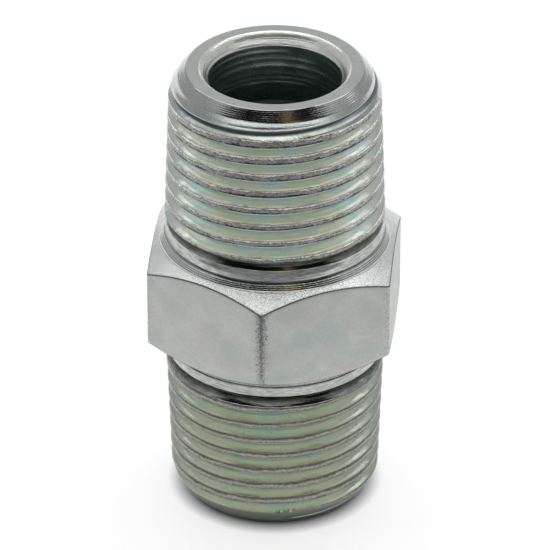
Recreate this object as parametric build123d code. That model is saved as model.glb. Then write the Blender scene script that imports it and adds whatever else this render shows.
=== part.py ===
from build123d import *
from math import atan, degrees, radians, tan
import os

# Hex nipple: one piece turned from hexagon bar, with a tapered right-hand male
# thread at each end, a wrench hexagon between them and one bore right through.
# Millimetres. The nipple stands on its lower end face: origin at the middle of
# that face, +Z up the bore, one corner of the hexagon towards -Y.

# ---- driving dimensions ----
overall_length = 47.3

bore_radius = 6.55
countersink_radius = 7.45
countersink_depth = 1.13

across_flats = 24.0
hex_middle_height = 23.29
hex_corner_half_height = 3.9
hex_corner_rounding = 0.4
hex_chamfer_angle = 30.0
hex_shoulder_radius = 11.45

# Each end is described by distances in from its own end face.
end_face_radius = 8.7
end_chamfer_length = 2.35
lower_neck_groove = (14.95, 16.2)
upper_neck_groove = (15.75, 16.73)
collar_edge_radius = 10.8
collar_radius = 10.9

threads_per_inch = 14
thread_flank_angle = 30.0
crest_radius_at_end = 10.356
crest_taper = 0.036
groove_depth_at_end = 0.73
groove_depth_gain = 0.024
groove_root_flat = 0.08
full_turns = 7
lower_last_turn = 0.35
upper_last_turn = 0.9
run_out_turns = 0.42

# Distance from each end face to the first groove on the -Y side.
lower_groove_start = 0.99
upper_groove_start = 0.114

# ---- derived dimensions ----
pitch = 25.4 / threads_per_inch
hex_corner_radius = across_flats / 2 / 0.75 ** 0.5
root_radius_at_end = crest_radius_at_end - groove_depth_at_end
root_taper = crest_taper - groove_depth_gain
flank_slope = tan(radians(thread_flank_angle))
chamfer_slope = tan(radians(hex_chamfer_angle))

# ---- cutting tools ----
groove_cutter_height = 1.4
run_out_overlap = 0.02
run_out_step = 0.02
seam_angle = 10
clearance = 2.0


def solid_of_revolution(outline):
    """Solid turned about Z from a closed outline of (radius, height) points."""
    return revolve(Plane.XZ * make_face(Polyline(*outline, close=True)), Axis.Z)


def crest_radius(distance):
    """Radius of the turned blank, at a distance in from the end face."""
    return crest_radius_at_end + crest_taper * distance


def root_radius(distance):
    """Radius of the bottom of the thread groove, at a distance from the end face."""
    return root_radius_at_end + root_taper * distance


def end_blank(neck_groove):
    """One end before threading: chamfer, taper, V-shaped neck groove and collar."""
    groove_start, collar_edge = neck_groove
    half_width = (collar_edge - groove_start) / 2
    middle = overall_length / 2
    outline = [
        (0, 0),
        (end_face_radius, 0),
        (crest_radius(end_chamfer_length), end_chamfer_length),
        (crest_radius(groove_start), groove_start),
        (collar_edge_radius - half_width, groove_start + half_width),
        (collar_edge_radius, collar_edge),
        (collar_radius, middle),
        (0, middle),
    ]
    return Rot(0, 0, seam_angle) * solid_of_revolution(outline)


def groove_sweep(start_radius, height, cone_angle):
    """V groove swept up a right-hand conical helix that starts on the +X side."""
    half_root = groove_root_flat / 2
    half_mouth = half_root + flank_slope * groove_cutter_height
    outer = start_radius + groove_cutter_height
    section = Polyline((start_radius, -half_root), (outer, -half_mouth), (outer, half_mouth),
                       (start_radius, half_root), close=True)
    path = Helix(pitch, height, start_radius, cone_angle=cone_angle)
    return sweep(make_face(Plane.XZ * section), path=path, is_frenet=True)


def full_groove(first_turn, turns):
    """A stretch of the full-depth groove, from its first turn up."""
    start = lower_groove_start + first_turn * pitch
    sweep_up = groove_sweep(root_radius(start), turns * pitch, degrees(atan(root_taper)))
    return Pos(0, 0, start) * Rot(0, 0, 360 * first_turn) * sweep_up


def run_out(last_turn):
    """The end of the groove, which climbs out of the metal beside the neck."""
    first_turn = full_turns + last_turn - run_out_overlap
    start_radius = root_radius(lower_groove_start + (full_turns + last_turn) * pitch) + run_out_step
    height = (run_out_turns + run_out_overlap) * pitch
    rise_angle = degrees(atan(groove_cutter_height / height))
    place = Pos(0, 0, lower_groove_start + first_turn * pitch) * Rot(0, 0, 360 * first_turn)
    return place * groove_sweep(start_radius, height, rise_angle)


def threaded_end(neck_groove, last_turn):
    """One end in its own frame: end face at height 0, thread starting on the +X side.

    Its groove is full depth for the full turns and the given part of a last turn."""
    end = end_blank(neck_groove)
    for turn in range(full_turns):
        end -= full_groove(turn, 1)
    end -= full_groove(full_turns, last_turn)
    return end - run_out(last_turn)


def wrench_hexagon():
    """The hexagon, with its corners turned down to a cone above and below."""
    corners = RegularPolygon(hex_corner_radius, 6).vertices()
    section = fillet(corners, hex_corner_rounding)
    shoulder_height = hex_corner_half_height + chamfer_slope * (hex_corner_radius - hex_shoulder_radius)
    half_height = shoulder_height + hex_shoulder_radius - collar_radius
    prism = extrude(Rot(0, 0, 30) * section, half_height, both=True)
    cones = solid_of_revolution([
        (0, -half_height),
        (collar_radius, -half_height),
        (hex_shoulder_radius, -shoulder_height),
        (hex_corner_radius, -hex_corner_half_height),
        (hex_corner_radius, hex_corner_half_height),
        (hex_shoulder_radius, shoulder_height),
        (collar_radius, half_height),
        (0, half_height),
    ])
    return Pos(0, 0, hex_middle_height) * (prism & cones)


def bore():
    """The flow bore, with a countersink at each end."""
    return solid_of_revolution([
        (0, -clearance),
        (countersink_radius, -clearance),
        (countersink_radius, 0),
        (bore_radius, countersink_depth),
        (bore_radius, overall_length - countersink_depth),
        (countersink_radius, overall_length),
        (countersink_radius, overall_length + clearance),
        (0, overall_length + clearance),
    ])


def hex_nipple():
    """The whole nipple as one solid."""
    phase = 360 * (upper_groove_start - lower_groove_start) / pitch
    lower_end = Rot(0, 0, -90) * threaded_end(lower_neck_groove, lower_last_turn)
    upper_place = Pos(0, 0, overall_length) * Rot(0, 0, -90 + phase) * Rot(180, 0, 0)
    upper_end = upper_place * threaded_end(upper_neck_groove, upper_last_turn)
    return lower_end + upper_end + wrench_hexagon() - bore()


os.makedirs("parts", exist_ok=True)
nipple = hex_nipple()
nipple.label = "hex_nipple"
export_step(nipple, "parts/hex_nipple.step")
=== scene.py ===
import math
import random
import bpy
import numpy as np
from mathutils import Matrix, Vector, noise


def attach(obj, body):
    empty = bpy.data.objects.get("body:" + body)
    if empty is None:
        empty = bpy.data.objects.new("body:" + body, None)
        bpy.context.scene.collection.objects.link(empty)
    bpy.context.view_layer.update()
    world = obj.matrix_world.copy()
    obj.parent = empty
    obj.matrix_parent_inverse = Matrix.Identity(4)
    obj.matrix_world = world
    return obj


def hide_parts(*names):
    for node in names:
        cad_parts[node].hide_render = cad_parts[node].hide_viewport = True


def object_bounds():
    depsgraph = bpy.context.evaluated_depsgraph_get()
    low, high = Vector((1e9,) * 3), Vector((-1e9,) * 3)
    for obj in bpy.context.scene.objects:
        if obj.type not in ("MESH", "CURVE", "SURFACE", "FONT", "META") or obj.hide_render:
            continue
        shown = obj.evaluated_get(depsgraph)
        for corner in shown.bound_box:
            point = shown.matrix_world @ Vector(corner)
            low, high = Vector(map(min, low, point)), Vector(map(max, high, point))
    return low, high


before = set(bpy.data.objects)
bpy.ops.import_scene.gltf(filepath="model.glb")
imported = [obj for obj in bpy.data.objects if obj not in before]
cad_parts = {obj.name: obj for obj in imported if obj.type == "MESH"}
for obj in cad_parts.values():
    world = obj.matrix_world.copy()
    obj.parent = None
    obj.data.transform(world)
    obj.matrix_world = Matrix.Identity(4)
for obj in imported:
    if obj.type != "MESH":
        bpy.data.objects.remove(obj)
cad_low, cad_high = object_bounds()

# Looks of the zinc-plated hex nipple. The mesh is worked out in millimetres in
# the part's own frame, +Z up the bore, and scaled to metres at the end.

MM = 0.001
LENGTH = (cad_high.z - cad_low.z) / MM
ACROSS_FLATS = (cad_high.x - cad_low.x) / MM

# ---- sizes that the CAD part shares, in millimetres ----
PITCH = 25.4 / 14
FACE_RADIUS = 8.7
BORE_RADIUS = 6.55
CREST_RADIUS = 10.356
CREST_TAPER = 0.036
CHAMFER_END = 2.35
GROOVE_DEPTH = 0.73
GROOVE_DEPTH_GAIN = 0.024
GROOVE_ROOT_FLAT = 0.08
FLANK_RISE = 1 / math.tan(math.radians(30))
LOWER_NECK = (14.95, 16.2)
UPPER_NECK = (15.75, 16.73)
COLLAR_EDGE_RADIUS = 10.8
COLLAR_RADIUS = 10.9
LOWER_GROOVE_END = 14.325
UPPER_GROOVE_END = 15.323
RUN_OUT_RISE = 1.837
LOWER_GROOVE = 0.99
UPPER_GROOVE = 0.114
HEX_MIDDLE = 23.29
HEX_CORNER_HALF = 3.9
HEX_ROUNDING = 0.4
HEX_SHOULDER = 11.45
CONE_SLOPE = math.tan(math.radians(30))
NOTCH_DEPTH = 0.10
FACE_RIM = 0.25

# (distance, radius) of the corners between the end face and the end of the chamfer
CHAMFER_CORNERS = ((0.90, 9.56), (1.28, 9.74))

# Distances past the hexagon's shoulder at which its notch starts, stops and is level.
NOTCH_PLACES = (0.02, 0.14, 0.20)

# ---- mesh fineness ----
EVEN_COLUMNS = 144
CORNER_COLUMNS = (-1.1, -0.55, 0.55, 1.1)
EDGE_ROUNDING = 0.10
COLLAR_ROUNDING = 0.03
ROUNDING_SHARE = 0.35
STRAIGHT_ENOUGH = math.cos(math.radians(10))

# ---- surface kinds, one material each ----
BORE, LIP, FACE, TURNED, FLANK, CREST, LOWER_CREST, COLLAR, CONE, FLAT, EDGE, NOTCH = range(12)

# Longest stretch of outline between two points, for each kind that is divided.
MAX_STEP = {FACE: 0.4, TURNED: 0.25, FLANK: 0.5, CREST: 0.22, COLLAR: 0.35}

# ---- marks of the lathe ----
CHAMFER_RINGS_START = 0.08
CHAMFER_RINGS_END = 0.86
RINGED_STRETCH_END = 0.91
CHAMFER_RING_PITCH = 0.15
CHAMFER_RING_DEPTH = 0.006
CHAMFER_RING_STEP = 0.03


# ---------------------------------------------------------------- outline maths
def crest_radius(s):
    return CREST_RADIUS + CREST_TAPER * s


def root_radius(s, groove_end):
    full = CREST_RADIUS - GROOVE_DEPTH + (CREST_TAPER - GROOVE_DEPTH_GAIN) * s
    return full + RUN_OUT_RISE * max(0.0, s - groove_end)


def blank_outline(neck):
    """The turned end before its thread: (distance from the end face, radius, kind of
    the surface that follows)."""
    start, edge = neck
    half = (edge - start) / 2
    return [
        (0.0, FACE_RADIUS, TURNED),
        *[(s, r, TURNED) for s, r in CHAMFER_CORNERS],
        (CHAMFER_END, crest_radius(CHAMFER_END), CREST),
        (start, crest_radius(start), COLLAR),
        (start + half, COLLAR_EDGE_RADIUS - half, COLLAR),
        (edge, COLLAR_EDGE_RADIUS, COLLAR),
    ]


def threaded_outline(blank, first_groove, groove_end):
    """Exact outline of a threaded end whose grooves lie at first_groove + n pitches,
    and climb out of the metal beyond groove_end.

    Returns (distance, radius, kind of the surface that follows) points.
    """
    env_s = np.array([p[0] for p in blank])
    env_r = np.array([p[1] for p in blank])
    kinds = [p[2] for p in blank]
    half_flat = GROOVE_ROOT_FLAT / 2
    grooves = [first_groove + n * PITCH for n in range(-1, 11)]
    stations = set(env_s.tolist())
    for c in grooves:
        root = root_radius(c, groove_end)
        for side in (-1, 1):
            stations.add(c + side * half_flat)
            for k in range(len(env_s) - 1):
                # where the flank's line crosses this stretch of the blank
                slope = (env_r[k + 1] - env_r[k]) / (env_s[k + 1] - env_s[k])
                gap = env_r[k] - slope * env_s[k] - root + FLANK_RISE * (side * c + half_flat)
                s = gap / (side * FLANK_RISE - slope)
                if env_s[k] <= s <= env_s[k + 1] and side * (s - c) > half_flat:
                    stations.add(s)

    def groove_radius(s):
        return min(
            root_radius(c, groove_end) + FLANK_RISE * max(0.0, abs(s - c) - half_flat)
            for c in grooves
        )

    points = []
    for s in sorted(x for x in stations if 0 <= x <= env_s[-1]):
        if points and s - points[-1][0] < 1e-4:
            continue
        points.append([s, min(float(np.interp(s, env_s, env_r)), groove_radius(s)), None])
    for a, b in zip(points, points[1:]):
        middle = (a[0] + b[0]) / 2
        if groove_radius(middle) < float(np.interp(middle, env_s, env_r)) - 1e-6:
            a[2] = FLANK
        else:
            a[2] = kinds[int(np.searchsorted(env_s, middle)) - 1]
    points[-1][2] = COLLAR
    return points


def softened(points):
    """The same outline with each of its corners replaced by three points that round it."""
    out = [points[0]]
    for before, here, after in zip(points, points[1:], points[2:]):
        corner = np.array(here[:2])
        back = corner - np.array(before[:2])
        on = np.array(after[:2]) - corner
        back_length, on_length = np.hypot(*back), np.hypot(*on)
        if np.dot(back, on) > STRAIGHT_ENOUGH * back_length * on_length:
            out.append(here)
            continue
        rounding = COLLAR_ROUNDING if before[2] == here[2] == COLLAR else EDGE_ROUNDING
        reach = min(rounding, ROUNDING_SHARE * back_length, ROUNDING_SHARE * on_length)
        first = corner - back / back_length * reach
        last = corner + on / on_length * reach
        middle = (first + 2 * corner + last) / 4
        out.append([*first, before[2]])
        out.append([*middle, here[2]])
        out.append([*last, here[2]])
    out.append(points[-1])
    return out


def divided(points):
    """The same outline with its long stretches cut to the step of their kind."""
    out = []
    for here, after in zip(points, points[1:]):
        length = math.dist(here[:2], after[:2])
        step = MAX_STEP[here[2]]
        if here[2] == TURNED and after[0] <= RINGED_STRETCH_END:
            step = CHAMFER_RING_STEP
        count = max(1, math.ceil(length / step))
        for k in range(count):
            t = k / count
            out.append([here[0] + (after[0] - here[0]) * t, here[1] + (after[1] - here[1]) * t, here[2]])
    out.append(points[-1])
    return out


def grain(x, y, z, fineness, salt=0.0):
    """Smooth noise from -1 to 1, fineness features to the millimetre."""
    return noise.noise(Vector((x * fineness + salt, y * fineness, z * fineness)))


def worn(s, r, kind, x, y, z):
    """Machining marks and small irregularities, as a change of (distance, radius)."""
    if kind == TURNED and CHAMFER_RINGS_START < s < CHAMFER_RINGS_END:
        depth = CHAMFER_RING_DEPTH * (1 + 0.5 * grain(x, y, z, 0.6, 7.0))
        r += depth * math.sin(2 * math.pi * s / CHAMFER_RING_PITCH)
    elif kind == TURNED:
        r += 0.010 * grain(x * 0.5, y * 0.5, z * 5, 1.0)
    elif kind == CREST:
        r += 0.016 * grain(x, y, z, 1.7) + 0.010 * grain(x, y, z * 2.0, 3.4, 5.0)
        s += 0.030 * grain(x, y, z, 1.9, 11.0)
    elif kind == FLANK:
        r += 0.008 * grain(x, y, z, 0.9, 2.0)
    elif kind == COLLAR:
        r += 0.008 * grain(x * 0.4, y * 0.4, z * 5, 1.0, 3.0)
    return s, r


def crest_places(points, lower):
    """For each point, how far it lies from the top edge (0) to the bottom edge (1) of
    the crest it belongs to."""
    places = [0.5] * len(points)
    start = None
    for k, (s, _, kind) in enumerate(points):
        if kind == CREST and start is None:
            start = k
        elif kind != CREST and start is not None:
            width = s - points[start][0]
            for j in range(start, k + 1):
                across = (points[j][0] - points[start][0]) / width
                places[j] = 1 - across if lower else across
            start = None
    return places


def threaded_section(theta, lower):
    """(order, radius, height, kind, groove depth, crest place) points of one threaded
    end at an angle, from its end face to its collar."""
    turn = (theta + math.pi / 2) / (2 * math.pi)
    if lower:
        outline = threaded_outline(blank_outline(LOWER_NECK), LOWER_GROOVE + PITCH * turn, LOWER_GROOVE_END)
    else:
        outline = threaded_outline(blank_outline(UPPER_NECK), UPPER_GROOVE - PITCH * turn, UPPER_GROOVE_END)
    collar_edge = outline[-1][0]
    past = 0.3
    slope = (COLLAR_RADIUS - COLLAR_EDGE_RADIUS) / (LENGTH / 2 - collar_edge)
    outline = [[0.0, FACE_RADIUS - FACE_RIM, FACE]] + outline
    outline.append([collar_edge + past, COLLAR_EDGE_RADIUS + slope * past, COLLAR])
    points = divided(softened(outline))
    out = []
    for (s, r, kind), place in zip(points, crest_places(points, lower)):
        height = s if lower else LENGTH - s
        x, y = r * math.cos(theta), r * math.sin(theta)
        worn_s, worn_r = worn(s, r, kind, x, y, height)
        worn_s = max(0.0, worn_s)
        depth = (crest_radius(s) - r) / (GROOVE_DEPTH + GROOVE_DEPTH_GAIN * s)
        if lower and kind == CREST:
            kind = LOWER_CREST
        out.append((s, worn_r, worn_s if lower else LENGTH - worn_s, kind, depth, place))
    return out


def from_hex_corner(theta):
    """Angle to the nearest corner of the hexagon."""
    step = math.radians(60)
    return abs((theta + math.pi / 2 + step / 2) % step - step / 2)


def hexagon_radius(theta):
    """Distance from the axis to the wall of the rounded hexagon, inside the CAD box."""
    apothem = ACROSS_FLATS / 2
    away = from_hex_corner(theta)
    arc_centre = (apothem - HEX_ROUNDING) / math.cos(math.radians(30))
    arc_end = math.atan2(HEX_ROUNDING * 0.5, arc_centre + HEX_ROUNDING * math.cos(math.radians(30)))
    if away < arc_end:
        across = arc_centre * math.sin(away)
        return min(cad_high.y / MM, arc_centre * math.cos(away) + math.sqrt(HEX_ROUNDING ** 2 - across ** 2))
    return apothem / math.cos(math.radians(30) - away)


def corner_wear(theta, height):
    """Dark scuffing of the hexagon's corners, heaviest on the corner at -Y and at its top."""
    band = max(0.0, 1 - from_hex_corner(theta) / math.radians(4.2))
    front = abs((theta + math.pi / 2 + math.pi) % (2 * math.pi) - math.pi) < math.radians(10)
    fade = 0.80 + 0.20 * (height - HEX_MIDDLE) / HEX_CORNER_HALF
    return band * fade if front else 0.4 * band


def middle_section(theta):
    """Points from just below the upper collar's edge, over the hexagon, to just above
    the lower collar's edge."""
    wall = hexagon_radius(theta)
    corner = ACROSS_FLATS / 2 / math.cos(math.radians(30))
    cone_end = HEX_CORNER_HALF + CONE_SLOPE * (corner - wall)
    shoulder = HEX_CORNER_HALF + CONE_SLOPE * (corner - HEX_SHOULDER)
    junction = shoulder + HEX_SHOULDER - COLLAR_RADIUS
    bevel = 0.07
    half = [
        [0.0, wall, FLAT],
        [cone_end * 0.5, wall, FLAT],
        [cone_end - 0.4, wall, FLAT],
        [cone_end - bevel * 1.2, wall, EDGE],
        [cone_end - bevel * 0.4, wall - bevel * 0.25, EDGE],
        [cone_end + bevel * CONE_SLOPE * 0.9, wall - bevel, CONE],
    ]
    rings = 10
    for k in range(1, rings + 1):
        r = (wall - bevel) + (HEX_SHOULDER - (wall - bevel)) * k / rings
        half.append([HEX_CORNER_HALF + CONE_SLOPE * (corner - r), r, CONE])
    steps = 4
    width = (HEX_SHOULDER - COLLAR_RADIUS) / steps
    for k in range(steps):
        r = HEX_SHOULDER - width * k
        s = shoulder + width * k
        half.append([s + 0.04, r, CONE])
        half.append([s + width * 0.85, r - width * 0.25, TURNED])
    notch_start, notch_stop, level = NOTCH_PLACES
    half.append([junction + notch_start, COLLAR_RADIUS - NOTCH_DEPTH, NOTCH])
    half.append([junction + notch_stop, COLLAR_RADIUS - NOTCH_DEPTH, NOTCH])
    half.append([junction + level, COLLAR_RADIUS, COLLAR])
    out = []
    order = 0
    ends = ((1, LENGTH - UPPER_NECK[1] - 0.5 - HEX_MIDDLE), (-1, HEX_MIDDLE - LOWER_NECK[1] - 0.5))
    for sign, collar_end in ends:
        side = [list(p) for p in half]
        start = junction + level
        for k in (0.25, 0.5, 0.75, 1.0):
            side.append([start + (collar_end - start) * k, COLLAR_RADIUS - 0.01 * k, COLLAR])
        if sign > 0:
            side = side[::-1]
            kinds = [p[2] for p in side[1:]] + [FLAT]
            for p, kind in zip(side, kinds):
                p[2] = kind
        else:
            side = side[1:]
        for s, r, kind in side:
            if kind == CONE:
                x, y = r * math.cos(theta), r * math.sin(theta)
                s += 0.010 * grain(x, y, sign, 1.1, 4.0)
            height = HEX_MIDDLE + sign * s
            wear = corner_wear(theta, height) if kind in (FLAT, EDGE) else 0.0
            out.append((order, r, height, kind, wear, 0.0))
            order += 1
    return out


LIP_OUTLINE = [(1.13, 6.56), (1.06, 6.64), (0.86, 6.74), (0.62, 6.86), (0.36, 7.03), (0.17, 7.21),
               (0.06, 7.35), (0.0, 7.47)]
FACE_STOPS = (7.62, 7.8, 8.0, 8.2, 8.35)


def bore_rings():
    """Steps that the drill left: (distance from the end face, height, angle of their
    middle, half extent)."""
    pick = random.Random(20)
    rings = []
    depth = 1.75
    while depth < 13:
        rings.append((depth, pick.uniform(0.01, 0.06), pick.uniform(0, 2 * math.pi), pick.uniform(0.7, 3.6)))
        depth += pick.uniform(0.30, 0.85)
    return rings


RINGS = bore_rings()
STEP_RISE = 0.04
STEP_FADE = 0.25


def bore_stations():
    """Distances from the end face at which the bore wall has points."""
    stops = {1.5, LENGTH / 2 - 0.5}
    for depth, _, _, _ in RINGS:
        stops.update((depth - STEP_RISE, depth, depth + STEP_FADE))
    ordered = [1.25]
    for s in sorted(stops):
        if s - ordered[-1] > 0.025:
            ordered.append(s)
    return ordered


BORE_STATIONS = bore_stations()


def bore_radius(s, theta, z):
    """Radius of the drilled wall, with its steps, tilt and chatter."""
    x, y = BORE_RADIUS * math.cos(theta), BORE_RADIUS * math.sin(theta)
    r = BORE_RADIUS + 0.012 * grain(x * 0.25, y * 0.25, z * 2.0, 1.0)
    for depth, height, middle, extent in RINGS:
        away = abs((theta - middle + math.pi) % (2 * math.pi) - math.pi)
        fade = min(1.0, max(0.0, (extent - away) / 0.5))
        wobble = 0.03 * grain(x, y, depth * 3, 0.5)
        u = s - depth - wobble
        if u > -STEP_RISE and fade > 0:
            shape = min(1.0, (u + STEP_RISE) / STEP_RISE) * math.exp(-max(0.0, u) / STEP_FADE * 2)
            r -= height * fade * shape
    return r


def inner_section(theta, lower):
    """Points from the middle of the bore out over the lip to the end face."""
    stops = [(s, bore_radius(s, theta, s if lower else LENGTH - s), BORE) for s in BORE_STATIONS[::-1]]
    for s, r in LIP_OUTLINE[:-1]:
        x, y = r * math.cos(theta), r * math.sin(theta)
        stops.append((s, r + 0.008 * grain(x, y, s * 4, 1.2, 6.0), LIP))
    edge_s, edge_r = LIP_OUTLINE[-1]
    ragged = 0.02 * grain(edge_r * math.cos(theta), edge_r * math.sin(theta), 0.0, 1.6, 8.0)
    stops += [(edge_s, edge_r + ragged, FACE)]
    stops += [(0.0, r, FACE) for r in FACE_STOPS]
    return [(k, r, s if lower else LENGTH - s, kind, 0.0, 0.0) for k, (s, r, kind) in enumerate(stops)]


def reversed_section(section):
    """A section walked the other way, its kinds moved to the stretches that follow."""
    flipped = section[::-1]
    kinds = [p[3] for p in flipped[1:]] + [flipped[-1][3]]
    return [(-p[0], *p[1:3], kind, *p[4:]) for p, kind in zip(flipped, kinds)]


def column(theta):
    """The closed outline of the nipple at one angle, in five sections."""
    return [
        inner_section(theta, False),
        threaded_section(theta, False),
        middle_section(theta),
        reversed_section(threaded_section(theta, True)),
        reversed_section(inner_section(theta, True)),
    ]


def column_angles():
    """Even columns, with a few more across each rounded corner of the hexagon."""
    angles = {round(k * 360 / EVEN_COLUMNS, 4) for k in range(EVEN_COLUMNS)}
    for corner in range(30, 390, 60):
        angles.update(round((corner + extra) % 360, 4) for extra in CORNER_COLUMNS)
    return [math.radians(a) for a in sorted(angles)]


def strip_faces(a, b, paired):
    """(face, kind) pairs that join two neighbouring columns' points of one section."""
    i = j = 0
    while i < len(a) - 1 or j < len(b) - 1:
        if paired:
            yield (a[i][1], a[i + 1][1], b[j + 1][1], b[j][1]), a[i][2]
            i += 1
            j += 1
        elif j == len(b) - 1 or (i < len(a) - 1 and a[i + 1][0] <= b[j + 1][0]):
            yield (a[i][1], a[i + 1][1], b[j][1]), a[i][2]
            i += 1
        else:
            yield (a[i][1], b[j + 1][1], b[j][1]), b[j][2]
            j += 1


def nipple_mesh():
    """One closed mesh, with a material index from the kind of each surface."""
    vertices = []
    blends = []
    places = []
    columns = []
    for theta in column_angles():
        numbered = []
        for section in column(theta):
            rows = []
            for order, r, z, kind, blend, place in section:
                rows.append((order, len(vertices), kind))
                vertices.append((r * math.cos(theta) * MM, r * math.sin(theta) * MM, z * MM))
                blends.append(blend)
                places.append(place)
            numbered.append(rows)
        columns.append(numbered)
    faces = []
    kinds = []
    for left, right in zip(columns, columns[1:] + columns[:1]):
        for part, (a, b) in enumerate(zip(left, right)):
            for face, kind in strip_faces(a, b, part in (0, 2, 4)):
                faces.append(face)
                kinds.append(kind)
            next_part = (part + 1) % len(left)
            faces.append((a[-1][1], left[next_part][0][1], right[next_part][0][1], b[-1][1]))
            kinds.append(a[-1][2])
    mesh = bpy.data.meshes.new("zinc_nipple")
    mesh.from_pydata(vertices, [], faces)
    mesh.polygons.foreach_set("material_index", kinds)
    mesh.polygons.foreach_set("use_smooth", [True] * len(faces))
    mesh.attributes.new("blend", "FLOAT", "POINT").data.foreach_set("value", blends)
    mesh.attributes.new("crest_place", "FLOAT", "POINT").data.foreach_set("value", places)
    mesh.update()
    return mesh


# ------------------------------------------------------------------- materials
class Nodes:
    """Short names for building one material's nodes."""

    def __init__(self, name):
        self.material = bpy.data.materials.new(name)
        self.material.use_nodes = True
        self.tree = self.material.node_tree
        self.tree.nodes.clear()
        self.output = self.new("ShaderNodeOutputMaterial")
        self.shader = self.new("ShaderNodeBsdfPrincipled")
        self.link(self.shader.outputs[0], self.output.inputs[0])
        place = self.new("ShaderNodeTexCoord")
        scaled = self.new("ShaderNodeVectorMath")
        scaled.operation = "SCALE"
        scaled.inputs["Scale"].default_value = 1 / MM
        self.link(place.outputs["Object"], scaled.inputs[0])
        self.millimetres = scaled.outputs[0]

    def new(self, kind):
        return self.tree.nodes.new(kind)

    def link(self, out, into):
        self.tree.links.new(out, into)

    def noise(self, scale, stretch=(1, 1, 1), detail=2.0, rough=0.5, offset=0.0):
        """Noise with scale features to the millimetre, its axes multiplied by stretch."""
        mapping = self.new("ShaderNodeMapping")
        mapping.inputs["Scale"].default_value = [scale * k for k in stretch]
        mapping.inputs["Location"].default_value = (offset, offset, offset)
        self.link(self.millimetres, mapping.inputs["Vector"])
        texture = self.new("ShaderNodeTexNoise")
        texture.inputs["Scale"].default_value = 1.0
        texture.inputs["Detail"].default_value = detail
        texture.inputs["Roughness"].default_value = rough
        self.link(mapping.outputs[0], texture.inputs["Vector"])
        return texture.outputs["Fac"]

    def attribute(self, name):
        node = self.new("ShaderNodeAttribute")
        node.attribute_name = name
        return node.outputs["Fac"]

    def ramp(self, fac, stops):
        node = self.new("ShaderNodeValToRGB")
        while len(node.color_ramp.elements) < len(stops):
            node.color_ramp.elements.new(0.5)
        for element, (position, colour) in zip(node.color_ramp.elements, stops):
            element.position = position
            element.color = (*colour, 1.0)
        self.link(fac, node.inputs[0])
        return node.outputs[0]

    def multiply(self, a, b):
        node = self.new("ShaderNodeMix")
        node.data_type = "RGBA"
        node.blend_type = "MULTIPLY"
        node.inputs[0].default_value = 1.0
        self.link(a, node.inputs[6])
        self.link(b, node.inputs[7])
        return node.outputs[2]

    def height(self, low, high):
        """Height above the lower end face, from 0 at low millimetres to 1 at high."""
        node = self.new("ShaderNodeSeparateXYZ")
        self.link(self.millimetres, node.inputs[0])
        return self.spread(node.outputs["Z"], 0.0, 1.0, from_low=low, from_high=high)

    def aside(self, low, high):
        """Distance to either side of the YZ plane, from 0 at low millimetres to 1 at high."""
        node = self.new("ShaderNodeSeparateXYZ")
        self.link(self.millimetres, node.inputs[0])
        distance = self.new("ShaderNodeMath")
        distance.operation = "ABSOLUTE"
        self.link(node.outputs["X"], distance.inputs[0])
        return self.spread(distance.outputs[0], 0.0, 1.0, from_low=low, from_high=high)

    def combine(self, operation, a, b):
        node = self.new("ShaderNodeMath")
        node.operation = operation
        self.link(a, node.inputs[0])
        self.link(b, node.inputs[1])
        return node.outputs[0]

    def spread(self, fac, low, high, from_low=0.3, from_high=0.7):
        node = self.new("ShaderNodeMapRange")
        node.inputs["From Min"].default_value = from_low
        node.inputs["From Max"].default_value = from_high
        node.inputs["To Min"].default_value = low
        node.inputs["To Max"].default_value = high
        self.link(fac, node.inputs["Value"])
        return node.outputs[0]

    def bump(self, height, distance, under=None):
        """Bump of a height field from 0 to 1, distance millimetres deep."""
        node = self.new("ShaderNodeBump")
        node.inputs["Distance"].default_value = distance * MM
        self.link(height, node.inputs["Height"])
        if under is not None:
            self.link(under, node.inputs["Normal"])
        return node.outputs[0]

    def finish(self, colour, roughness, normal, metallic=1.0):
        self.shader.inputs["Metallic"].default_value = metallic
        self.link(colour, self.shader.inputs["Base Color"])
        self.link(roughness, self.shader.inputs["Roughness"])
        self.link(normal, self.shader.inputs["Normal"])
        return self.material


def tones(*colours):
    """Evenly spaced colour stops over the middle of a noise's range."""
    first, last = 0.32, 0.68
    step = (last - first) / max(1, len(colours) - 1)
    return [(first + step * k, colour) for k, colour in enumerate(colours)]


BROAD_TINT = 0.22


def zinc(name, colours, rough, grain_size, grain_depth, streaks=0.0, streak_pitch=8.0, dark_grain=0.8,
         metallic=1.0, stretch=(1, 1, 1)):
    """Zinc plate: broad passivation tints, a grain, and turning streaks round the axis."""
    n = Nodes(name)
    tint = n.ramp(n.noise(BROAD_TINT, (1, 1, 1.5), detail=3.0, offset=3.1), tones(*colours))
    fine = n.noise(grain_size, stretch, detail=3.0, rough=0.6)
    shade = n.ramp(fine, [(0.3, (dark_grain,) * 3), (0.62, (1.0, 1.0, 1.0))])
    colour = n.multiply(tint, shade)
    roughness = n.spread(n.noise(0.5, offset=9.0), *rough)
    normal = n.bump(fine, grain_depth)
    if streaks:
        lines = n.noise(1.0, (0.15, 0.15, streak_pitch), detail=2.0)
        normal = n.bump(lines, streaks, under=normal)
    return n.finish(colour, roughness, normal, metallic)


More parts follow.
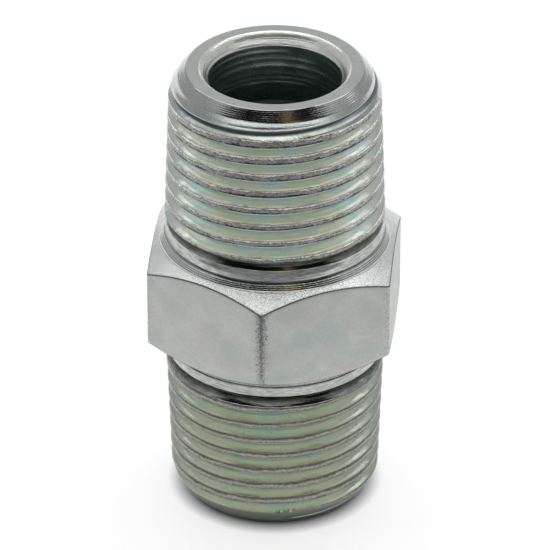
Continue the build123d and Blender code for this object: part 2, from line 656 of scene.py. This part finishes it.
def flank_zinc():
    """Thread flank: blue-grey at the root, grey-green half way and olive at the crest,
    with broad bluish and straw patches over it. Painted shade darkens the groove roots,
    most in the topmost groove, a painted sheen makes it bluer at the nipple's two sides,
    and it is darker on the lower thread, in part painted shade, and at the top of the upper one."""
    n = Nodes("thread_flank")
    # Tints by groove depth; the darker root stop is painted shade down in the groove.
    by_depth = n.ramp(n.attribute("blend"), [
        (0.0, (0.73, 0.74, 0.63)),
        (0.35, (0.80, 0.86, 0.73)),
        (0.7, (0.76, 0.85, 0.77)),
        (1.0, (0.61, 0.71, 0.72)),
    ])
    patches = n.ramp(n.noise(0.26, (1, 1, 1.3), detail=2.0, offset=5.3),
                     tones((0.90, 0.97, 1.0), (0.98, 0.98, 0.98), (1.0, 0.97, 0.92), (0.90, 0.94, 0.93)))
    # Darker on the lower thread, in part painted shade, and darker at the top of the upper thread.
    shade_by_height = n.ramp(n.height(14.0, 46.0), [
        (0.0, (0.77, 0.77, 0.72)),
        (0.56, (1.0, 1.0, 1.0)),
        (0.93, (1.0, 1.0, 1.0)),
        (0.96, (0.70, 0.70, 0.76)),
    ])
    # Painted shade in the root of the topmost groove.
    first_root = n.combine("MULTIPLY", n.attribute("blend"), n.height(44.2, 44.9))
    root_painted_shade = n.ramp(first_root, [(0.40, (1.0, 1.0, 1.0)), (0.62, (0.42, 0.42, 0.42))])
    # Painted sheen: bluer and a little darker towards the two sides, set by position.
    side_painted_sheen = n.ramp(n.aside(6.0, 10.5), [(0.0, (1.0, 1.0, 1.0)), (1.0, (0.92, 0.94, 1.06))])
    colour = n.multiply(n.multiply(by_depth, patches), n.multiply(shade_by_height, side_painted_sheen))
    colour = n.multiply(colour, root_painted_shade)
    fine = n.noise(3.0, (1, 1, 2.0), detail=3.0)
    broad = n.noise(0.55, (1, 1, 0.6), detail=1.0, offset=2.6)
    normal = n.bump(fine, 0.008, under=n.bump(broad, 0.07))
    roughness = n.spread(n.noise(0.4, offset=1.7), 0.20, 0.30)
    return n.finish(colour, roughness, normal, metallic=0.72)


def crest_zinc(name, painted_tone_stops, tint, mottle_low):
    """Thread crest: streaked and mottled, its tone running from its top edge to its
    bottom edge with a ragged border between. Its tone stops paint light and shade
    across the crest."""
    n = Nodes(name)
    ragged = n.spread(n.noise(2.6, (1, 1, 3.0), detail=4.0, rough=0.6, offset=2.0), -0.14, 0.14)
    drift = n.spread(n.noise(0.5, detail=1.0, offset=6.0), -0.12, 0.14)
    place = n.combine("ADD", n.attribute("crest_place"), n.combine("ADD", ragged, drift))
    tone = n.ramp(place, [(position, [shade * part for part in tint]) for position, shade in painted_tone_stops])
    mottle = n.noise(3.6, (1, 1, 3.5), detail=4.0, rough=0.7)
    shade = n.ramp(mottle, [(0.38, (mottle_low,) * 3), (0.48, (0.72,) * 3), (0.60, (1.0,) * 3)])
    colour = n.multiply(tone, shade)
    normal = n.bump(mottle, 0.035)
    roughness = n.spread(n.noise(0.9, offset=4.0), 0.20, 0.34)
    return n.finish(colour, roughness, normal)


def turned_zinc():
    """Turned chamfer: bright and finely ringed, with painted shade on the chamfer that stands low, darkest
    where it meets the floor.
    """
    n = Nodes("turned_chamfer")
    broad = n.noise(BROAD_TINT, (1, 1, 1.5), detail=3.0, offset=3.1)
    tint = n.ramp(broad, tones((0.52, 0.54, 0.53), (0.62, 0.64, 0.63)))
    fine = n.noise(6.0, detail=3.0, rough=0.6)
    shade = n.ramp(fine, [(0.3, (0.8,) * 3), (0.62, (1.0,) * 3)])
    # Painted shade: the lowest 3 mm of the lower chamfer darken towards the floor.
    low_chamfer_shade = n.ramp(n.height(0.0, 3.0), [
        (0.0, (0.17, 0.18, 0.16)),
        (0.75, (0.42, 0.44, 0.38)),
        (1.0, (1.0,) * 3),
    ])
    colour = n.multiply(n.multiply(tint, shade), low_chamfer_shade)
    rings = n.noise(1.0, (0.15, 0.15, 9.0), detail=2.0)
    normal = n.bump(rings, 0.010, under=n.bump(fine, 0.010))
    roughness = n.spread(n.noise(0.5, offset=9.0), 0.10, 0.15)
    return n.finish(colour, roughness, normal)


def collar_zinc():
    """Turned collar, streaked round the axis, with painted shade darkening it down in the neck groove."""
    n = Nodes("turned_collar")
    tint = n.ramp(n.noise(BROAD_TINT, (1, 1, 1.5), detail=3.0, offset=3.1), tones(PALE, GREY))
    streak = n.noise(4.0, (0.25, 0.25, 2.0), detail=3.0, rough=0.6)
    lines = n.ramp(streak, [(0.38, (0.58,) * 3), (0.58, (1.0,) * 3)])
    # Painted shade: darker the deeper the collar lies in the neck groove.
    deep = n.ramp(n.attribute("blend"), [
        (0.14, (1.0,) * 3),
        (0.34, (0.50, 0.50, 0.46)),
        (0.6, (0.22, 0.22, 0.19)),
    ])
    colour = n.multiply(n.multiply(tint, lines), deep)
    normal = n.bump(streak, 0.010)
    roughness = n.spread(n.noise(0.5, offset=9.0), 0.10, 0.15)
    return n.finish(colour, roughness, normal)


def flat_zinc():
    """Drawn flat of the hexagon: broad faint tints, scuffed dark along its corners."""
    n = Nodes("drawn_flat")
    tint = n.ramp(n.noise(0.16, (1, 1, 1.5), detail=3.0, offset=3.1), tones(COOL, GREEN, PALE, WARM, GREY))
    fine = n.noise(6.0, detail=3.0, rough=0.6)
    grain_shade = n.ramp(fine, [(0.3, (0.88,) * 3), (0.62, (1.0, 1.0, 1.0))])
    speckle = n.spread(n.noise(5.5, detail=4.0, rough=0.75, offset=8.0), -0.55, 0.55)
    wear = n.combine("ADD", n.attribute("blend"), speckle)
    scuff = n.ramp(wear, [(0.32, (1.0, 1.0, 1.0)), (0.85, (0.36, 0.35, 0.36))])
    colour = n.multiply(n.multiply(tint, grain_shade), scuff)
    normal = n.bump(fine, 0.008)
    roughness = n.spread(n.noise(0.5, offset=9.0), 0.38, 0.48)
    return n.finish(colour, roughness, normal)


GREY = (0.48, 0.50, 0.48)
COOL = (0.470, 0.500, 0.500)
WARM = (0.500, 0.498, 0.480)
GREEN = (0.480, 0.508, 0.485)
PALE = (0.520, 0.530, 0.520)

# Tone from the top edge to the bottom edge of a crest, and its tint. The upper crest's tones paint a
# highlight along its top edge and shade along its bottom edge.
UPPER_CREST_PAINTED_TONES = [(0.0, 1.0), (0.17, 1.0), (0.23, 0.26), (0.34, 0.42), (0.58, 0.48), (0.80, 0.32),
                     (0.86, 0.07), (1.0, 0.04)]
UPPER_CREST_TINT = (1.0, 0.985, 0.93)
LOWER_CREST_TINT = (1.0, 0.99, 0.87)
# The lower crest's tones are darker than the upper crest's, in part painted shade.
LOWER_CREST_DARKER_TONES = [(0.0, 0.13), (0.30, 0.15), (0.46, 0.38), (0.74, 0.36), (0.90, 0.22), (1.0, 0.18)]

MATERIALS = {
    BORE: zinc("drilled_bore", [(0.12, 0.18, 0.17), (0.28, 0.35, 0.33)], (0.24, 0.38), 4.0, 0.03,
               0.02, 7.0, metallic=0.8, stretch=(1, 1, 3)),
    LIP: zinc("countersunk_lip", [(0.90, 0.90, 0.83), (0.95, 0.95, 0.93)], (0.12, 0.20), 3.0, 0.02,
              0.03, 6.0, metallic=0.7, stretch=(1, 1, 3)),
    FACE: zinc("faced_end", [GREY, PALE], (0.32, 0.42), 8.0, 0.008),
    TURNED: turned_zinc(),
    FLANK: flank_zinc(),
    CREST: crest_zinc("thread_crest", UPPER_CREST_PAINTED_TONES, UPPER_CREST_TINT, 0.18),
    LOWER_CREST: crest_zinc("lower_thread_crest", LOWER_CREST_DARKER_TONES, LOWER_CREST_TINT, 0.50),
    COLLAR: collar_zinc(),
    CONE: zinc("turned_cone", [(0.84, 0.85, 0.84), (0.93, 0.94, 0.92)], (0.18, 0.26), 8.0, 0.045, 0.010, 6.0,
               dark_grain=0.72),
    FLAT: flat_zinc(),
    # The near-black colour of the hexagon's chamfer arcs is a painted dark line of shade.
    EDGE: zinc("turned_edge_painted_dark", [(0.14, 0.14, 0.13), (0.22, 0.22, 0.21)], (0.35, 0.45), 5.0, 0.01),
    NOTCH: zinc("shadowed_notch", [(0.05, 0.05, 0.045), (0.10, 0.10, 0.09)], (0.35, 0.45), 5.0, 0.01),
}

body = bpy.data.objects.new("zinc_nipple", nipple_mesh())
bpy.context.scene.collection.objects.link(body)
for kind in sorted(MATERIALS):
    body.data.materials.append(MATERIALS[kind])
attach(body, "root")
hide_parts("hex_nipple")


# ------------------------------------------------------------- camera and studio
CAMERA_AZIMUTH = math.radians(5.64)
CAMERA_ELEVATION = math.radians(30.82)
CAMERA_DISTANCE = 0.5457
CAMERA_AIM = Vector((0, 0, 0.02373))
CAMERA_LENS = 358.8


def floor():
    """A pale sheet that glows a little like a lit product table. Its glow fades to nothing
    under the nipple, a painted contact shadow, and is off well in front of the nipple for
    all but camera rays, a painted shade that the nipple sees in its reflections."""
    size = 3.0
    mesh = bpy.data.meshes.new("floor")
    height = cad_low.z - 0.02 * MM
    corners = [(-size, -size), (size, -size), (size, size), (-size, size)]
    mesh.from_pydata([(x, y, height) for x, y in corners], [], [(0, 1, 2, 3)])
    sheet = bpy.data.objects.new("floor", mesh)
    bpy.context.scene.collection.objects.link(sheet)
    n = Nodes("pale_floor")
    n.shader.inputs["Roughness"].default_value = 0.9
    n.shader.inputs["Base Color"].default_value = (0.52, 0.52, 0.52, 1.0)
    n.shader.inputs["Specular IOR Level"].default_value = 0.0
    n.shader.inputs["Emission Color"].default_value = (1.0, 1.0, 1.0, 1.0)
    parts = n.new("ShaderNodeSeparateXYZ")
    n.link(n.millimetres, parts.inputs[0])
    # Painted shade for reflections: no glow well in front of the nipple, except for camera rays.
    ahead = n.spread(parts.outputs["Y"], 0.0, 1.0, from_low=-60.0, from_high=-36.0)
    path = n.new("ShaderNodeLightPath")
    ahead = n.combine("MAXIMUM", ahead, path.outputs["Is Camera Ray"])
    length = n.new("ShaderNodeVectorMath")
    length.operation = "LENGTH"
    n.link(n.millimetres, length.inputs[0])
    # Painted contact shadow: the glow fades out under the nipple.
    glow_beyond_contact_shadow = n.spread(length.outputs["Value"], 0.0, 0.68, from_low=8.8, from_high=10.9)
    n.link(n.combine("MULTIPLY", ahead, glow_beyond_contact_shadow), n.shader.inputs["Emission Strength"])
    sheet.data.materials.append(n.material)


def softbox(name, place, size, radiance):
    """A rectangular soft light that faces the nipple, hidden from the camera, its
    brightness given as radiance."""
    lamp = bpy.data.lights.new(name, "AREA")
    lamp.shape = "RECTANGLE"
    lamp.size, lamp.size_y = size
    lamp.energy = radiance * math.pi * size[0] * size[1]
    ob = bpy.data.objects.new(name, lamp)
    ob.location = place
    towards = CAMERA_AIM - Vector(place)
    ob.rotation_euler = towards.to_track_quat("-Z", "Y").to_euler()
    ob.visible_camera = False
    bpy.context.scene.collection.objects.link(ob)


class Sky:
    """Nodes of the studio's surroundings, by direction from the nipple."""

    def __init__(self):
        world = bpy.data.worlds.new("studio")
        bpy.context.scene.world = world
        world.use_nodes = True
        self.tree = world.node_tree
        self.tree.nodes.clear()

    def new(self, kind):
        return self.tree.nodes.new(kind)

    def link(self, out, into):
        self.tree.links.new(out, into)

    def band(self, value, low, high, soft):
        """1 where value is between low and high, fading to 0 over soft."""
        up = self.step(value, low - soft, low + soft, 0.0, 1.0)
        down = self.step(value, high - soft, high + soft, 1.0, 0.0)
        both = self.math("MULTIPLY", up, down)
        return self.step(both, 0.0, 1.0, 0.0, 1.0)

    def step(self, value, low, high, before, after):
        node = self.new("ShaderNodeMapRange")
        node.interpolation_type = "SMOOTHSTEP"
        node.inputs["From Min"].default_value = low
        node.inputs["From Max"].default_value = high
        node.inputs["To Min"].default_value = before
        node.inputs["To Max"].default_value = after
        self.link(value, node.inputs["Value"])
        return node.outputs[0]

    def math(self, operation, a, b):
        node = self.new("ShaderNodeMath")
        node.operation = operation
        self.link(a, node.inputs[0])
        self.link(b, node.inputs[1])
        return node.outputs[0]

    def dot(self, vector, constant):
        node = self.new("ShaderNodeVectorMath")
        node.operation = "DOT_PRODUCT"
        self.link(vector, node.inputs[0])
        node.inputs[1].default_value = constant
        return node.outputs["Value"]


def sky():
    """Bright low surroundings, and a dark gap above the camera with a golden stripe in
    it, as the nipple sees them. The camera itself sees plain white."""
    s = Sky()
    place = s.new("ShaderNodeTexCoord")
    direction = place.outputs["Generated"]
    up = s.dot(direction, (0, 0, 1))
    flat = s.new("ShaderNodeVectorMath")
    flat.operation = "MULTIPLY"
    s.link(direction, flat.inputs[0])
    flat.inputs[1].default_value = (1, 1, 0)
    level = s.new("ShaderNodeVectorMath")
    level.operation = "NORMALIZE"
    s.link(flat.outputs[0], level.inputs[0])
    sin_a, cos_a = math.sin(CAMERA_AZIMUTH), math.cos(CAMERA_AZIMUTH)
    ahead = s.dot(level.outputs[0], (sin_a, -cos_a, 0))
    aside = s.dot(level.outputs[0], (cos_a, sin_a, 0))

    gap_height = s.band(up, 0.52, 0.945, 0.035)
    gap_width = s.step(ahead, 0.05, 0.50, 0.0, 1.0)
    gap = s.math("MULTIPLY", gap_height, gap_width)
    low = s.step(up, 0.30, 0.62, 1.0, 0.0)
    front = s.math("MULTIPLY", s.step(ahead, 0.10, 0.85, 0.0, 1.05), s.step(up, 0.19, 0.31, 0.25, 1.0))
    behind = s.step(ahead, -0.97, -0.86, 0.90, 0.44)
    toward = s.math("ADD", front, behind)
    higher = s.step(up, 0.55, 0.95, 0.40, 0.85)
    low_part = s.math("MULTIPLY", low, toward)
    rest = s.step(low, 0.0, 1.0, 1.0, 0.0)
    high_part = s.math("MULTIPLY", rest, higher)
    brightness = s.math("ADD", low_part, high_part)
    dim = s.step(gap, 0.0, 1.0, 1.0, 0.012)
    brightness = s.math("MULTIPLY", brightness, dim)

    lit = s.new("ShaderNodeBackground")
    lit.inputs[0].default_value = (0.97, 1.0, 1.0, 1)
    s.link(brightness, lit.inputs[1])

    stripe = s.math("MULTIPLY", gap, s.band(aside, 0.22, 0.42, 0.08))
    glow = s.new("ShaderNodeBackground")
    glow.inputs[0].default_value = (0.40, 0.27, 0.09, 1)
    s.link(s.step(stripe, 0.0, 1.0, 0.0, 0.6), glow.inputs[1])
    both = s.new("ShaderNodeAddShader")
    s.link(lit.outputs[0], both.inputs[0])
    s.link(glow.outputs[0], both.inputs[1])

    seen = s.new("ShaderNodeBackground")
    seen.inputs[0].default_value = (1, 1, 1, 1)
    path = s.new("ShaderNodeLightPath")
    mix = s.new("ShaderNodeMixShader")
    s.link(path.outputs["Is Camera Ray"], mix.inputs[0])
    s.link(both.outputs[0], mix.inputs[1])
    s.link(seen.outputs[0], mix.inputs[2])
    out = s.new("ShaderNodeOutputWorld")
    s.link(mix.outputs[0], out.inputs[0])


def camera():
    data = bpy.data.cameras.new("camera")
    data.lens = CAMERA_LENS
    ob = bpy.data.objects.new("camera", data)
    level = math.cos(CAMERA_ELEVATION)
    back = Vector((math.sin(CAMERA_AZIMUTH) * level, -math.cos(CAMERA_AZIMUTH) * level,
                   math.sin(CAMERA_ELEVATION)))
    ob.location = CAMERA_AIM + back * CAMERA_DISTANCE
    ob.rotation_euler = (-back).to_track_quat("-Z", "Y").to_euler()
    bpy.context.scene.collection.objects.link(ob)
    bpy.context.scene.camera = ob


floor()
sky()
softbox("top_light", (0.0, 0.18, 0.60), (0.42, 0.42), 1.5)
softbox("left_light", (-0.45, 0.28, 0.55), (0.12, 0.30), 1.3)
softbox("right_light", (0.45, 0.28, 0.55), (0.12, 0.30), 1.3)
camera()
bpy.context.scene.view_settings.view_transform = "Standard"
